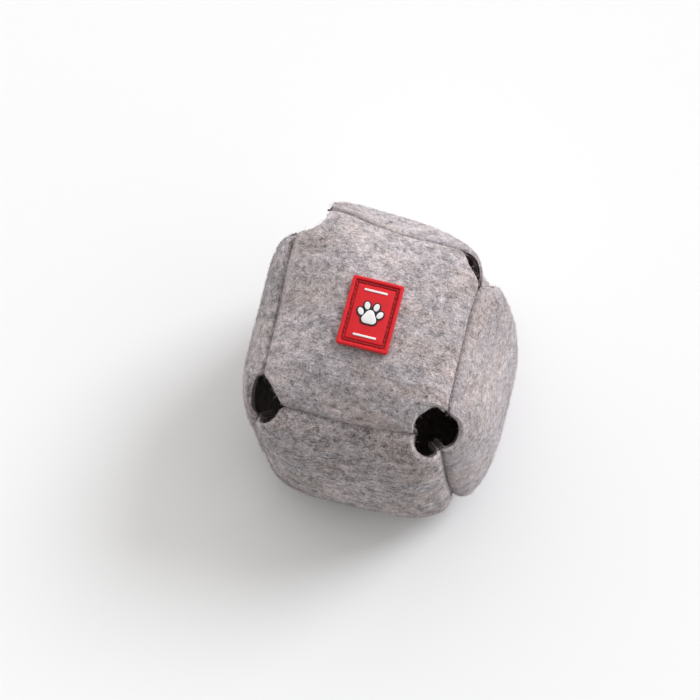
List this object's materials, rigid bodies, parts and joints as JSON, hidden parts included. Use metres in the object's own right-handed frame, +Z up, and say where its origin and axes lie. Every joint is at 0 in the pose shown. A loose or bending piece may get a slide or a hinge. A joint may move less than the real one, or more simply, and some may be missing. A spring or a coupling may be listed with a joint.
{
  "type": "hollow felt ball",
  "caption": "Hollow ball of thick grey wool felt, sewn like a rounded cube with an opening at each corner and a soft red badge sewn on top.",
  "frame": {"origin": "on the surface the ball rests on, under the middle of the ball", "axes": "+Z up out of the panel with the badge, -Y to the front panel, +X to the right panel"},
  "size_m": [0.113, 0.122, 0.1061],
  "materials": {
    "felt": "thick melange wool felt, matt and slightly hairy",
    "seam_thread": "spun polyester sewing thread",
    "badge_red": "soft moulded vinyl, satin",
    "badge_thread": "dark red sewing thread",
    "badge_dark": "soft moulded vinyl, satin",
    "badge_white": "soft moulded vinyl, satin"
  },
  "bodies": {
    "root": {"top_panel": "felt", "bottom_panel": "felt", "front_panel": "felt", "back_panel": "felt", "left_panel": "felt", "right_panel": "felt", "seam_thread_top_front": "seam_thread", "seam_thread_top_back": "seam_thread", "seam_thread_top_left": "seam_thread", "seam_thread_top_right": "seam_thread", "seam_thread_bottom_front": "seam_thread", "seam_thread_bottom_back": "seam_thread", "seam_thread_bottom_left": "seam_thread", "seam_thread_bottom_right": "seam_thread", "seam_thread_front_left": "seam_thread", "seam_thread_front_right": "seam_thread", "seam_thread_back_left": "seam_thread", "seam_thread_back_right": "seam_thread", "badge_plate": "badge_red", "badge_stitches": "badge_thread", "badge_paw_backing": "badge_dark", "badge_paw": "badge_white", "badge_rules": "badge_white"}
  },
  "joints": []
}
